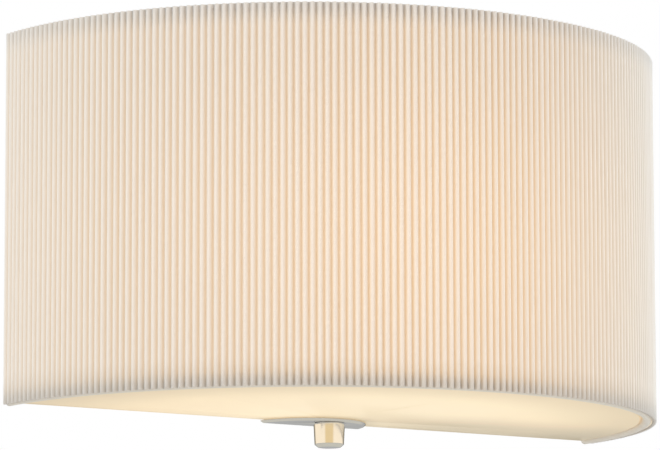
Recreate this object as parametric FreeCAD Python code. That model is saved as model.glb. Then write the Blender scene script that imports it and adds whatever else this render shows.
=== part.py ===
import FreeCAD, Part
import math
import os

# Half-round wall light with a pleated fabric shade. Millimetres.
# X runs along the wall, the wall is the plane y = 0, the room is on the -Y side and +Z is up.
# The origin is on the wall, at the middle of the shade's width and height.

# Shade
SHADE_RADIUS = 150.0  # to the tips of the pleats
SHADE_HEIGHT = 156.0
PLEATS = 155
PLEAT_DEPTH = 1.8
COVER_WEB = 0.35  # fabric behind the grooves
LINER_THICKNESS = 0.5
LAYER_GAP = 0.05  # glue line between two layers
RIM_WIRE = 2.4  # diameter
HEM_THICKNESS = 0.4
HEM_HEIGHT = 12.0
BACK_GAP = 0.5  # from the upright edges of cover and liner to the wall
STRUT_Y = -4.3  # middle of the wires along the wall

# Diffuser and finial
DIFFUSER_RADIUS = 143.0
DIFFUSER_THICKNESS = 3.0
DIFFUSER_RECESS = 0.8  # its underside above the rim
DIFFUSER_BACK = -1.5  # its straight edge
UPPER_GASKET = 0.8
UPPER_GASKET_SIDE = 20.0
LOWER_GASKET = 0.3
LOWER_GASKET_RADIUS = 6.2
STUD_CLEARANCE = 0.5  # of the hole in the diffuser and its two gaskets
CLAMP_RADIUS = 25.0
CLAMP_THICKNESS = 1.2
FINIAL_DIAMETER = 13.4
FINIAL_HEIGHT = 10.6
FINIAL_TAPER = 0.45  # lost from the radius towards the lower end
FINIAL_Y = -17.2
STUD_DIAMETER = 6.0
STUD_ENGAGED = 8.0  # thread inside the finial

# Backplate
PLATE_WIDTH = 200.0
PLATE_TOP = 62.0
PLATE_THICKNESS = 1.2
PLATE_FLANGE = 12.0
WALL_HOLE_SPACING = 120.0
WALL_HOLE = 5.2
CABLE_HOLE_Z = -30.0
CABLE_BORE = 9.0
BEND = 2.0  # inner radius of the plate's bends

# Hanging: keyhole tabs of the shade on studs of the plate
HANG_X = 70.0
HANG_STUD_Z = 52.0
HANG_LIFT = 12.0
HANG_SHANK = 4.0
HANG_HEAD = 8.0
TAB_WIDTH = 16.0
TAB_THICKNESS = 1.2
TAB_Y = -1.9  # back face of the tabs

# Lamp, hung cap up
LAMP_Y = -50.0
ARM_WIDTH = 20.0
ARM_TOP = 60.0
STRIP_THICKNESS = 2.0
BULB_DIAMETER = 45.0
LAMP_LENGTH = 78.0
LAMP_TIP = 36.9
LEAD_DIAMETER = 2.2
LEAD_SIDES = 6
BULB_SIDES = 28  # flat sides of the lamp and its holder
KNOB_SIDES = 36
SMALL_SIDES = 12  # of screws, rivets and studs

# Worked out from the above
HALF_HEIGHT = SHADE_HEIGHT / 2
GROOVE_RADIUS = SHADE_RADIUS - PLEAT_DEPTH
COVER_INNER = GROOVE_RADIUS - COVER_WEB
LINER_OUTER = COVER_INNER - LAYER_GAP
LINER_INNER = LINER_OUTER - LINER_THICKNESS
WIRE_R = RIM_WIRE / 2
RING_RADIUS = LINER_INNER - LAYER_GAP - WIRE_R
RING_Z = HALF_HEIGHT - HEM_THICKNESS - LAYER_GAP - WIRE_R
HEM_INNER = RING_RADIUS - WIRE_R - LAYER_GAP - HEM_THICKNESS
STRUT_X = math.sqrt(RING_RADIUS ** 2 - STRUT_Y ** 2)
PLATE_FRONT = -PLATE_THICKNESS
DIFFUSER_BOTTOM = DIFFUSER_RECESS - HALF_HEIGHT
DIFFUSER_TOP = DIFFUSER_BOTTOM + DIFFUSER_THICKNESS
SHELF_BOTTOM = DIFFUSER_TOP + UPPER_GASKET
SHELF_TOP = SHELF_BOTTOM + STRIP_THICKNESS
CLAMP_TOP = DIFFUSER_BOTTOM - LOWER_GASKET
CLAMP_BOTTOM = CLAMP_TOP - CLAMP_THICKNESS
ARM_BOTTOM = ARM_TOP - STRIP_THICKNESS
HOLE_RADIUS = STUD_DIAMETER / 2 + STUD_CLEARANCE

V = FreeCAD.Vector
ZERO = V(0, 0, 0)
UP = V(0, 0, 1)
OUT = V(0, -1, 0)  # away from the wall


def save(node, *solids):
    """Write one node; a group of equal pieces stays a group of separate solids."""
    shape = solids[0] if len(solids) == 1 else Part.makeCompound(list(solids))
    shape.exportStep(os.path.join("parts", node + ".step"))
    volume = sum(s.Volume for s in shape.Solids) / 1000
    print("%-16s %d solid(s) %8.3f cm3 valid %s" % (node, len(shape.Solids), volume, shape.isValid()))


def outline(*steps):
    """A closed face from points; a pair of points is an arc through the first to the second."""
    start = steps[0]
    here = start
    edges = []
    for step in steps[1:] + (start,):
        if isinstance(step, tuple):
            edges.append(Part.Arc(here, step[0], step[1]).toShape())
            here = step[1]
        elif (step - here).Length > 1e-6:
            edges.append(Part.LineSegment(here, step).toShape())
            here = step
    return Part.Face(Part.Wire(edges))


def upright(solid):
    """The same solid with its faces pointing outwards."""
    if solid.Volume < 0:
        solid.reverse()
    return solid


def prism(face, direction):
    return upright(face.extrude(direction))


def on_circle(radius, angle, z=0.0):
    return V(radius * math.cos(angle), radius * math.sin(angle), z)


def ring_of_points(radius, count, z=0.0, turn=0.0):
    return [on_circle(radius, turn + 2 * math.pi * k / count, z) for k in range(count)]


def turned(profile, at=ZERO, axis=UP):
    """Turn (radius, height) points about an axis through at; heights run along the axis."""
    face = outline(*[V(r, 0, h) for r, h in profile])
    solid = upright(face.revolve(ZERO, UP, 360))
    solid.Placement = FreeCAD.Placement(at, FreeCAD.Rotation(UP, axis))
    return solid


def flat_sided(profile, sides, at=ZERO, axis=UP):
    """The same, but with flat sides round the axis, for pieces that need no true circle."""
    rings = [ring_of_points(r, sides, h) for r, h in profile]
    faces = []
    for low, high in zip(rings, rings[1:] + rings[:1]):
        for k in range(sides):
            corners = [low[k - 1], low[k], high[k], high[k - 1]]
            befores = corners[-1:] + corners[:-1]
            corners = [c for c, before in zip(corners, befores) if (c - before).Length > 1e-6]
            if len(corners) > 2:
                faces.append(Part.Face(Part.makePolygon(corners + corners[:1])))
    shell = Part.makeShell(faces)
    shell.sewShape()
    solid = upright(Part.makeSolid(shell))
    solid.Placement = FreeCAD.Placement(at, FreeCAD.Rotation(UP, axis))
    return solid


def rod(radius, start, end):
    return Part.makeCylinder(radius, (end - start).Length, start, end - start)


def flat_rod(radius, start, end):
    """A small rod with flat sides."""
    turn = FreeCAD.Rotation(UP, end - start)
    corners = [start + turn.multVec(p) for p in ring_of_points(radius, SMALL_SIDES)]
    return prism(outline(*corners), end - start)


def block(x0, x1, y0, y1, z0, z1):
    return Part.makeBox(x1 - x0, y1 - y0, z1 - z0, V(x0, y0, z0))


def cornered(solid, size, chosen):
    """Cut off the corners at the edges whose middle point passes the test."""
    edges = [e for e in solid.Edges if chosen(e.valueAt((e.FirstParameter + e.LastParameter) / 2))]
    return solid.makeChamfer(size, edges)


def round_the_front(face):
    """Turn a section that stands at +X, through the room side, to -X."""
    return upright(face.revolve(ZERO, UP, -180))


def wire_section():
    """The round wire's section in its own plane; eight sides keep thin wires light."""
    flats = 8
    side_on = math.pi / flats
    return [V(p.x, 0, p.y) for p in ring_of_points(WIRE_R / math.cos(side_on), flats, 0.0, side_on)]


def straight_wire(start, end):
    """A wire with its flats square to the axes, between two points that share two coordinates."""
    turn = FreeCAD.Rotation(V(0, 1, 0), end - start)
    return prism(outline(*[start + turn.multVec(p) for p in wire_section()]), end - start)


# Shade ---------------------------------------------------------------------------------------------

# One pleat in plan: share of the pitch, height above the groove as a share of the depth.
PLEAT_FORM = ((0.13, 0.0), (0.25, 0.84), (0.5, 1.0), (0.75, 0.84), (0.87, 0.0))


def pleated_cover():
    """A half cylinder, smooth inside, with one ridge for each pleat outside."""
    back_angle = math.asin(BACK_GAP / SHADE_RADIUS)
    first, last = math.pi + back_angle, 2 * math.pi - back_angle
    pitch = (last - first) / PLEATS
    low = -HALF_HEIGHT
    ridge = [
        on_circle(GROOVE_RADIUS + rise * PLEAT_DEPTH, first + (pleat + share) * pitch, low)
        for pleat in range(PLEATS)
        for share, rise in PLEAT_FORM
    ]
    inner_end = on_circle(COVER_INNER, last, low)
    inner_middle = on_circle(COVER_INNER, 1.5 * math.pi, low)
    inner_start = on_circle(COVER_INNER, first, low)
    outer_start = on_circle(GROOVE_RADIUS, first, low)
    outer_end = on_circle(GROOVE_RADIUS, last, low)
    face = outline(outer_start, *ridge, outer_end, inner_end, (inner_middle, inner_start))
    return prism(face, V(0, 0, SHADE_HEIGHT))


def shade_liner():
    half = HALF_HEIGHT - HEM_THICKNESS - LAYER_GAP
    section = outline(
        V(LINER_INNER, 0, -half), V(LINER_OUTER, 0, -half), V(LINER_OUTER, 0, half), V(LINER_INNER, 0, half)
    )
    behind = block(-SHADE_RADIUS, SHADE_RADIUS, -BACK_GAP, BACK_GAP, -half - 1, half + 1)
    return round_the_front(section).cut(behind)


def hem(side):
    """An L section: a lip over the liner's end and the wire, and a band down the inside."""
    rim = side * HALF_HEIGHT
    lip = rim - side * HEM_THICKNESS
    end = rim - side * HEM_HEIGHT
    band = HEM_INNER + HEM_THICKNESS
    section = outline(
        V(HEM_INNER, 0, rim), V(LINER_OUTER, 0, rim), V(LINER_OUTER, 0, lip),
        V(band, 0, lip), V(band, 0, end), V(HEM_INNER, 0, end),
    )
    return round_the_front(section)


def top_hem():
    """The upper hem, notched where the back bar passes through it."""
    reach = WIRE_R + LAYER_GAP
    notch = block(-LINER_INNER, LINER_INNER, STRUT_Y - reach, STRUT_Y + reach, RING_Z - reach, RING_Z + reach)
    return hem(1).cut(notch)


def rim_arc(z, end_y):
    """The wire's arc round the front, ending at end_y on both sides."""
    section = outline(*[V(RING_RADIUS, 0, z) + p for p in wire_section()])
    behind = block(-SHADE_RADIUS, SHADE_RADIUS, end_y, WIRE_R, z - RIM_WIRE, z + RIM_WIRE)
    return round_the_front(section).cut(behind)


def top_ring():
    """The upper rim's arc and the straight bar that joins its ends along the wall."""
    reach = V(STRUT_X + WIRE_R / 2, 0, 0)
    middle = V(0, STRUT_Y, RING_Z)
    bar = straight_wire(middle - reach, middle + reach)
    return rim_arc(RING_Z, STRUT_Y + WIRE_R).fuse(bar).removeSplitter()


def bottom_ring():
    return rim_arc(-RING_Z, STRUT_Y + WIRE_R)


def side_struts():
    reach = RING_Z - WIRE_R
    return [straight_wire(V(x, STRUT_Y, -reach), V(x, STRUT_Y, reach)) for x in (-STRUT_X, STRUT_X)]


def edge_binding(side):
    """A folded tape over an upright back edge, between the two hems."""
    reach = HALF_HEIGHT - HEM_HEIGHT - LAYER_GAP
    leaf_x = STRUT_X - WIRE_R - LAYER_GAP
    inner, band, outer = (side * x for x in (leaf_x - HEM_THICKNESS, leaf_x, LINER_OUTER))
    leaf = -10.0
    face = outline(
        V(inner, 0, -reach), V(outer, 0, -reach), V(outer, -HEM_THICKNESS, -reach),
        V(band, -HEM_THICKNESS, -reach), V(band, leaf, -reach), V(inner, leaf, -reach),
    )
    return prism(face, V(0, 0, 2 * reach))


def hanging_tab(x):
    """A strip with a keyhole: the stud rests in the slot's top, the round hole lets its head through."""
    bottom = HANG_STUD_Z - HANG_LIFT - 7.0
    half_slot = HANG_SHANK / 2 + 0.15
    slot_top = HANG_STUD_Z + HANG_SHANK / 2 - half_slot
    hole_z = HANG_STUD_Z - HANG_LIFT
    back, front = TAB_Y + 1, TAB_Y - TAB_THICKNESS - 1
    strip = block(x - TAB_WIDTH / 2, x + TAB_WIDTH / 2, TAB_Y - TAB_THICKNESS, TAB_Y, bottom, RING_Z + WIRE_R)
    strip = cornered(strip, 3.0, lambda p: abs(abs(p.x - x) - TAB_WIDTH / 2) + abs(p.z - bottom) < 0.01)
    slot = block(x - half_slot, x + half_slot, front, back, hole_z, slot_top)
    round_top = rod(half_slot, V(x, back, slot_top), V(x, front, slot_top))
    hole = rod(HANG_HEAD / 2 + 0.6, V(x, back, hole_z), V(x, front, hole_z))
    return strip.cut([slot, round_top, hole])


# Diffuser and finial -------------------------------------------------------------------------------


def half_disc(radius, z, thickness):
    """A D plate: its round side to the room, its straight edge just off the wall."""
    end = math.sqrt(radius ** 2 - DIFFUSER_BACK ** 2)
    face = outline(V(-end, DIFFUSER_BACK, z), (V(0, -radius, z), V(end, DIFFUSER_BACK, z)))
    return prism(face, V(0, 0, thickness))


def bevelled_below(plate, size):
    """The plate with the edge of its underside taken off."""
    low = plate.BoundBox.ZMin
    return plate.makeChamfer(size, [e for e in plate.Edges if all(abs(v.Z - low) < 0.01 for v in e.Vertexes)])


def stud_hole(radius, z, thickness):
    return rod(radius, V(0, FINIAL_Y, z - 1), V(0, FINIAL_Y, z + thickness + 1))


def diffuser():
    plate = bevelled_below(half_disc(DIFFUSER_RADIUS, DIFFUSER_BOTTOM, DIFFUSER_THICKNESS), 0.4)
    return plate.cut(stud_hole(HOLE_RADIUS, DIFFUSER_BOTTOM, DIFFUSER_THICKNESS))


def upper_gasket():
    """A square soft pad round the stud, between the shelf and the diffuser."""
    half = UPPER_GASKET_SIDE / 2
    top = DIFFUSER_TOP + UPPER_GASKET
    pad = block(-half, half, FINIAL_Y - half, FINIAL_Y + half, DIFFUSER_TOP, top)
    return pad.cut(stud_hole(HOLE_RADIUS, DIFFUSER_TOP, UPPER_GASKET))


def lower_gasket():
    """A thin washer that keeps the metal plate off the diffuser."""
    r, t = LOWER_GASKET_RADIUS, LOWER_GASKET
    profile = [(HOLE_RADIUS, 0), (r, 0), (r, t), (HOLE_RADIUS, t)]
    return flat_sided(profile, BULB_SIDES, V(0, FINIAL_Y, CLAMP_TOP))


def clamp_plate():
    plate = bevelled_below(half_disc(CLAMP_RADIUS, CLAMP_BOTTOM, CLAMP_THICKNESS), 0.8)
    return plate.cut(stud_hole(STUD_DIAMETER / 2 + 0.3, CLAMP_BOTTOM, CLAMP_THICKNESS))


def finial():
    """A knob, a little narrower at its lower end, with a bevelled tip and a blind threaded bore."""
    top_r = FINIAL_DIAMETER / 2
    low_r = top_r - FINIAL_TAPER
    bevel, tip_r = 1.2, 4.8
    low = FINIAL_HEIGHT - bevel
    knob = flat_sided(
        [(0, 0), (top_r, 0), (low_r, low), (tip_r, FINIAL_HEIGHT), (0, FINIAL_HEIGHT)],
        KNOB_SIDES, V(0, FINIAL_Y, CLAMP_BOTTOM), V(0, 0, -1),
    )
    bore_end = CLAMP_BOTTOM - STUD_ENGAGED - 0.8
    return knob.cut(rod(STUD_DIAMETER / 2 + 0.05, V(0, FINIAL_Y, CLAMP_BOTTOM + 1), V(0, FINIAL_Y, bore_end)))


def finial_stud():
    """A self-clinching stud: its low head sits on the shelf, its shank points down."""
    r = STUD_DIAMETER / 2
    head = 1.4
    length = SHELF_TOP - CLAMP_BOTTOM + STUD_ENGAGED
    return flat_sided(
        [(0, -head), (4.5, -head), (4.5, 0), (r, 0), (r, length), (0, length)],
        BULB_SIDES, V(0, FINIAL_Y, SHELF_TOP), V(0, 0, -1),
    )


# Backplate and brackets ----------------------------------------------------------------------------

RIVET_PLACES = ((0, 36), (0, 48), (-12, -62), (12, -62))
RIVET_SHANK = 4.0
EARTH_X, EARTH_Z = 28.0, 21.0
SCREW_CLEARANCE = 0.05


def wall_hole(radius, x, z):
    return rod(radius, V(x, 1, z), V(x, PLATE_FRONT - STRIP_THICKNESS - 1, z))


def backplate():
    """A channel: flat on the wall, its two upright sides folded towards the room."""
    half, flange, t = PLATE_WIDTH / 2, -PLATE_FLANGE, PLATE_THICKNESS
    outer = BEND + t
    c = math.cos(math.pi / 4)
    mid_out, mid_in = outer * (1 - c), outer - BEND * c
    bottom = SHELF_TOP

    def at(x, y):
        return V(x, y, bottom)

    face = outline(
        at(outer - half, 0), at(half - outer, 0), (at(half - mid_out, -mid_out), at(half, -outer)),
        at(half, flange), at(half - t, flange), at(half - t, -outer),
        (at(half - mid_in, -mid_in), at(half - outer, -t)), at(outer - half, -t),
        (at(mid_in - half, -mid_in), at(t - half, -outer)), at(t - half, flange),
        at(-half, flange), at(-half, -outer), (at(mid_out - half, -mid_out), at(outer - half, 0)),
    )
    plate = prism(face, V(0, 0, PLATE_TOP - bottom))
    middle = (bottom + PLATE_TOP) / 2
    plate = cornered(plate, 4.0, lambda p: abs(p.y - flange) < 0.01 and abs(p.z - middle) > 1)
    holes = [wall_hole(WALL_HOLE / 2, x, 0) for x in (-WALL_HOLE_SPACING / 2, WALL_HOLE_SPACING / 2)]
    holes += [wall_hole(RIVET_SHANK / 2 + SCREW_CLEARANCE, x, z) for x, z in RIVET_PLACES]
    holes += [wall_hole(HANG_SHANK / 2 + SCREW_CLEARANCE, x, HANG_STUD_Z) for x in (-HANG_X, HANG_X)]
    holes += [wall_hole(8.0, 0, CABLE_HOLE_Z), wall_hole(2.0 + SCREW_CLEARANCE, EARTH_X, EARTH_Z)]
    return plate.cut(holes)


def strip_bracket(half_width, leg_end, shelf_face, reach):
    """An angle bent from strip: a leg on the plate, and a shelf towards the room at shelf_face."""
    s = 1 if shelf_face > leg_end else -1
    t, outer = STRIP_THICKNESS, STRIP_THICKNESS + 3.0
    inner = outer - t
    c = math.cos(math.pi / 4)
    bend = V(0, PLATE_FRONT - outer, shelf_face - s * outer)

    def at(y, z):
        return V(-half_width, y, z)

    face = outline(
        at(PLATE_FRONT, leg_end), at(PLATE_FRONT, bend.z),
        (at(bend.y + outer * c, bend.z + s * outer * c), at(bend.y, shelf_face)),
        at(-reach, shelf_face), at(-reach, shelf_face - s * t), at(bend.y, shelf_face - s * t),
        (at(bend.y + inner * c, bend.z + s * inner * c), at(PLATE_FRONT - t, bend.z)),
        at(PLATE_FRONT - t, leg_end),
    )
    angle = prism(face, V(2 * half_width, 0, 0))
    angle = cornered(angle, 6.0, lambda p: abs(p.y + reach) < 0.01 and abs(abs(p.x) - half_width) < 0.01)
    holes = [wall_hole(RIVET_SHANK / 2 + SCREW_CLEARANCE, x, z) for x, z in RIVET_PLACES]
    return angle.cut(holes)


def lamp_arm():
    arm = strip_bracket(ARM_WIDTH / 2, 28.0, ARM_TOP, 62.0)
    return arm.cut(rod(5.1, V(0, LAMP_Y, ARM_BOTTOM - 1), V(0, LAMP_Y, ARM_TOP + 1)))


def shelf_bracket():
    shelf = strip_bracket(20.0, -52.0, SHELF_BOTTOM, 34.0)
    return shelf.cut(stud_hole(STUD_DIAMETER / 2 + SCREW_CLEARANCE, SHELF_BOTTOM, STRIP_THICKNESS))


def fastener(x, z, shank_r, grip, head_r, head_height):
    """A shank through the plate from the wall, with a low domed head on the room side."""
    return flat_sided(
        [(0, 0), (shank_r, 0), (shank_r, grip), (head_r, grip),
         (head_r * 0.65, grip + head_height), (0, grip + head_height)],
        SMALL_SIDES, V(x, 0, z), OUT,
    )


def hanging_stud(x):
    neck = 2.4
    return fastener(x, HANG_STUD_Z, HANG_SHANK / 2, PLATE_THICKNESS + neck, HANG_HEAD / 2, 1.8)


def rivet(x, z):
    return fastener(x, z, RIVET_SHANK / 2, PLATE_THICKNESS + STRIP_THICKNESS, 3.6, 1.2)


def cable_grommet():
    neck, flange, front = 7.9, 11.0, PLATE_THICKNESS + 2.6
    profile = [(0, 0), (neck, 0), (neck, PLATE_THICKNESS), (flange, PLATE_THICKNESS)]
    profile += [(flange - 2.0, front), (0, front)]
    body = flat_sided(profile, BULB_SIDES, V(0, 0, CABLE_HOLE_Z), OUT)
    return body.cut(wall_hole(CABLE_BORE / 2, 0, CABLE_HOLE_Z))


# Terminal block, earth and leads -------------------------------------------------------------------

WAYS = (-10.0, 0.0, 10.0)  # live, earth, neutral
BLOCK_BOTTOM, BLOCK_TOP = -12.0, 4.0
BLOCK_BODY = 9.0
BLOCK_DEPTH = 13.0
WAY_Y = PLATE_FRONT - 5.8
SCREW_ROWS = (BLOCK_BOTTOM + 4.0, BLOCK_TOP - 4.0)


def terminal_block():
    """A low body with a raised rib and two screw wells over each pole, and a square wire way through it."""
    body = block(-16, 16, PLATE_FRONT - BLOCK_BODY, PLATE_FRONT, BLOCK_BOTTOM, BLOCK_TOP)
    front = PLATE_FRONT - BLOCK_DEPTH
    ribs, wells = [], []
    for x in WAYS:
        ribs.append(block(x - 3.4, x + 3.4, front, PLATE_FRONT - 1, BLOCK_BOTTOM + 0.8, BLOCK_TOP - 0.8))
        wells += [flat_rod(2.1, V(x, PLATE_FRONT - BLOCK_BODY, z), V(x, front - 1, z)) for z in SCREW_ROWS]
        wells.append(block(x - 1.8, x + 1.8, WAY_Y - 1.8, WAY_Y + 1.8, BLOCK_BOTTOM - 1, BLOCK_TOP + 1))
    return body.fuse(ribs).cut(wells)


def terminal_screw(x, z):
    """A grub screw in its well."""
    return flat_rod(2.0, V(x, PLATE_FRONT - BLOCK_BODY, z), V(x, PLATE_FRONT - BLOCK_DEPTH + 1.0, z))


def earth_tag():
    """A ring on the plate and a barrel for the lead."""
    t = 0.8
    profile = [(2.2, 0), (4.4, 0), (4.4, t), (2.2, t)]
    ring = flat_sided(profile, SMALL_SIDES, V(EARTH_X, PLATE_FRONT, EARTH_Z), OUT)
    barrel_y = PLATE_FRONT - 1.6
    start, end = V(EARTH_X - 9.5, barrel_y, EARTH_Z), V(EARTH_X - 4.2, barrel_y, EARTH_Z)
    bore = flat_rod(LEAD_DIAMETER / 2 + 0.1, start - V(1, 0, 0), end - V(1, 0, 0))
    barrel = flat_rod(1.6, start, end).cut(bore)
    neck = block(EARTH_X - 4.8, EARTH_X - 3.2, PLATE_FRONT - t, PLATE_FRONT, EARTH_Z - 1.2, EARTH_Z + 1.2)
    return ring.fuse([barrel, neck])


def earth_screw():
    return fastener(EARTH_X, EARTH_Z, 2.0, PLATE_THICKNESS + 0.8, 3.8, 2.4)


def lead(points):
    """A tube on straight runs joined by tangent arcs, each as large as its two runs allow."""
    runs = [b - a for a, b in zip(points, points[1:])]
    edges, here, radii = [], points[0], []
    for corner, before, after in zip(points[1:], runs, runs[1:]):
        half_turn = before.getAngle(after) / 2
        cut = 0.45 * min(before.Length, after.Length)
        radii.append(cut / math.tan(half_turn))
        start = corner - before * (cut / before.Length)
        end = corner + after * (cut / after.Length)
        chord = (start + end) * 0.5
        inward = chord - corner
        middle = corner + inward * ((radii[-1] / math.cos(half_turn) - radii[-1]) / inward.Length)
        edges += [Part.LineSegment(here, start).toShape(), Part.Arc(start, middle, end).toShape()]
        here = end
    edges.append(Part.LineSegment(here, points[-1]).toShape())
    path = Part.Wire(edges)
    turn = FreeCAD.Rotation(UP, runs[0])
    corners = [points[0] + turn.multVec(p) for p in ring_of_points(LEAD_DIAMETER / 2, LEAD_SIDES)]
    ring = Part.makePolygon(corners + corners[:1])
    tube = upright(path.makePipeShell([ring], True, False))
    section = Part.Face(ring).Area
    print("lead %.1f mm long, least radius %.1f mm, volume %.3f of section times length"
          % (path.Length, min(radii), tube.Volume / (section * path.Length)))
    return tube


def lamp_lead(side):
    """From the block, up past the arm's side, over it and down through the hollow nipple."""
    return lead([
        V(side * 10.0, WAY_Y, 0.0), V(side * 11.0, WAY_Y - 1.5, 18.0), V(side * 17.0, -17.0, 50.0),
        V(side * 12.0, -34.0, 72.0), V(side * 2.2, -49.5, 72.0), V(side * 1.9, LAMP_Y, INSERT_TOP + 0.1),
    ])


def earth_lead():
    return lead([
        V(0, WAY_Y, 0.0), V(0.6, WAY_Y + 0.6, 10.0), V(6.5, -4.2, 18.6),
        V(EARTH_X - 13.0, PLATE_FRONT - 1.6, EARTH_Z), V(EARTH_X - 5.5, PLATE_FRONT - 1.6, EARTH_Z),
    ])


# Lampholder and lamp -------------------------------------------------------------------------------

JOINT_Z = 40.0  # where the holder's cap meets its skirt
INSERT_TOP = JOINT_Z + 6.0
SKIRT_BOTTOM = 8.0
CAP_RIM = 14.0  # lower end of the lamp's metal cap
CAP_TOP = LAMP_TIP - 3.2  # its upper end, under the glass bead
BEAD_TOP = LAMP_TIP - 1.0


def on_lamp_axis(profile):
    """Turn (radius, z) points about the lamp's axis, with flat sides."""
    return flat_sided(profile, BULB_SIDES, V(0, LAMP_Y, 0))


def holder_nipple():
    return on_lamp_axis([(4.0, 52), (5.0, 52), (5.0, 66), (4.0, 66)])


def holder_nut():
    corner = 14.0 / math.sqrt(3)
    points = [on_circle(corner, math.radians(60 * k), ARM_TOP) + V(0, LAMP_Y, 0) for k in range(6)]
    nut = prism(outline(*points), V(0, 0, 3.5))
    return nut.cut(rod(5.05, V(0, LAMP_Y, ARM_TOP - 1), V(0, LAMP_Y, ARM_TOP + 5)))


def holder_cap():
    top = ARM_BOTTOM
    return on_lamp_axis([
        (5.05, top), (11.0, top), (14.0, top - 3.5), (14.0, JOINT_Z),
        (12.2, JOINT_Z), (12.2, top - 2.5), (5.05, top - 2.5),
    ])


def holder_skirt():
    return on_lamp_axis([
        (8.6, SKIRT_BOTTOM), (12.6, SKIRT_BOTTOM), (13.4, JOINT_Z - 4),
        (14.0, JOINT_Z - 4), (14.0, JOINT_Z), (8.6, JOINT_Z),
    ])


def holder_insert():
    return on_lamp_axis([(0, JOINT_Z), (12.0, JOINT_Z), (12.0, INSERT_TOP), (0, INSERT_TOP)])


def holder_shell():
    """Thin metal shell that the lamp's cap screws into."""
    bottom = CAP_RIM + 4
    return on_lamp_axis([(7.3, bottom), (7.7, bottom), (7.7, JOINT_Z), (7.3, JOINT_Z)])


def holder_contact():
    return on_lamp_axis([(0, LAMP_TIP + 0.1), (2.2, LAMP_TIP + 0.1), (2.8, JOINT_Z), (0, JOINT_Z)])


def lamp_cap():
    """Metal cap, open below and stepped above; it turns in the holder, so its outside is truly round."""
    r, step_r, hole_r, wall = 6.95, 5.4, 3.6, 0.6
    step = CAP_TOP - 1.5
    outside = turned(
        [(0, CAP_RIM), (r, CAP_RIM), (r, step), (step_r, step), (step_r, CAP_TOP), (0, CAP_TOP)],
        V(0, LAMP_Y, 0),
    )
    inside = on_lamp_axis([
        (0, CAP_RIM - 1), (r - wall, CAP_RIM - 1), (r - wall, step - wall), (step_r - wall, step - wall),
        (step_r - wall, CAP_TOP - wall), (hole_r, CAP_TOP - wall), (hole_r, CAP_TOP + 1), (0, CAP_TOP + 1),
    ])
    return outside.cut(inside)


def lamp_insulator():
    low = CAP_TOP - 1.0
    return on_lamp_axis([
        (0, low), (3.5, low), (3.5, CAP_TOP), (4.8, CAP_TOP), (3.0, BEAD_TOP), (0, BEAD_TOP),
    ])


def lamp_contact():
    return on_lamp_axis([(0, BEAD_TOP), (2.4, BEAD_TOP), (1.6, LAMP_TIP), (0, LAMP_TIP)])


def lamp_glass():
    """A hollow golf-ball bulb, with a neck that narrows into the cap."""
    r, wall, neck, seat = BULB_DIAMETER / 2, 1.0, 7.6, 6.3
    centre = LAMP_TIP - LAMP_LENGTH + r
    angles = [math.radians(a) for a in range(-75, 60, 15)]
    outer = [(r * math.cos(a), centre + r * math.sin(a)) for a in angles]
    inner = [((r - wall) * math.cos(a), centre + (r - wall) * math.sin(a)) for a in angles[::2]]
    shoulder = centre + r * 0.98
    top = CAP_RIM + 3
    return on_lamp_axis(
        [(0, centre - r)] + outer + [(neck, shoulder), (neck, CAP_RIM - 1), (seat, CAP_RIM), (seat, top)]
        + [(seat - wall, top), (seat - wall, shoulder)] + inner[::-1] + [(0, centre - r + wall)]
    )


def build():
    os.makedirs("parts", exist_ok=True)
    save("pleated_cover", pleated_cover())
    save("shade_liner", shade_liner())
    save("top_hem", top_hem())
    save("bottom_hem", hem(-1))
    save("edge_bindings", edge_binding(-1), edge_binding(1))
    save("top_ring", top_ring())
    save("bottom_ring", bottom_ring())
    save("side_struts", *side_struts())
    save("hanging_tabs", hanging_tab(-HANG_X), hanging_tab(HANG_X))

    save("diffuser", diffuser())
    save("upper_gasket", upper_gasket())
    save("lower_gasket", lower_gasket())
    save("clamp_plate", clamp_plate())
    save("finial", finial())

    save("backplate", backplate())
    save("hanging_studs", hanging_stud(-HANG_X), hanging_stud(HANG_X))
    save("lamp_arm", lamp_arm())
    save("shelf_bracket", shelf_bracket())
    save("bracket_rivets", *[rivet(x, z) for x, z in RIVET_PLACES])
    save("finial_stud", finial_stud())
    save("cable_grommet", cable_grommet())
    save("terminal_block", terminal_block())
    save("terminal_screws", *[terminal_screw(x, z) for x in WAYS for z in SCREW_ROWS])
    save("earth_tag", earth_tag())
    save("earth_screw", earth_screw())
    save("lead_live", lamp_lead(-1))
    save("lead_neutral", lamp_lead(1))
    save("lead_earth", earth_lead())

    save("holder_nipple", holder_nipple())
    save("holder_nut", holder_nut())
    save("holder_cap", holder_cap())
    save("holder_skirt", holder_skirt())
    save("holder_insert", holder_insert())
    save("holder_shell", holder_shell())
    save("holder_contact", holder_contact())
    save("lamp_glass", lamp_glass())
    save("lamp_cap", lamp_cap())
    save("lamp_insulator", lamp_insulator())
    save("lamp_contact", lamp_contact())


build()
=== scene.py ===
# %% [markdown]
# # A half-round wall light with a pleated fabric shade
#
# The light hangs on a wall and its lamp is on. Its frame, wall plate, lampholder, leads and moving
# joints come from a packed engineering model. This lesson loads that model as a fixed frame and
# makes what an engineer's model leaves plain: the pleated cloth, the taped rims, the polished metal
# and the glow of a lit shade. Every length is in metres. X runs along the wall, the wall is the
# plane y = 0, the room is on the -Y side and Z points up.

# %% Load the frame
import math
import random

import bmesh
import bpy
from mathutils import Matrix, Quaternion, Vector


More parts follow.
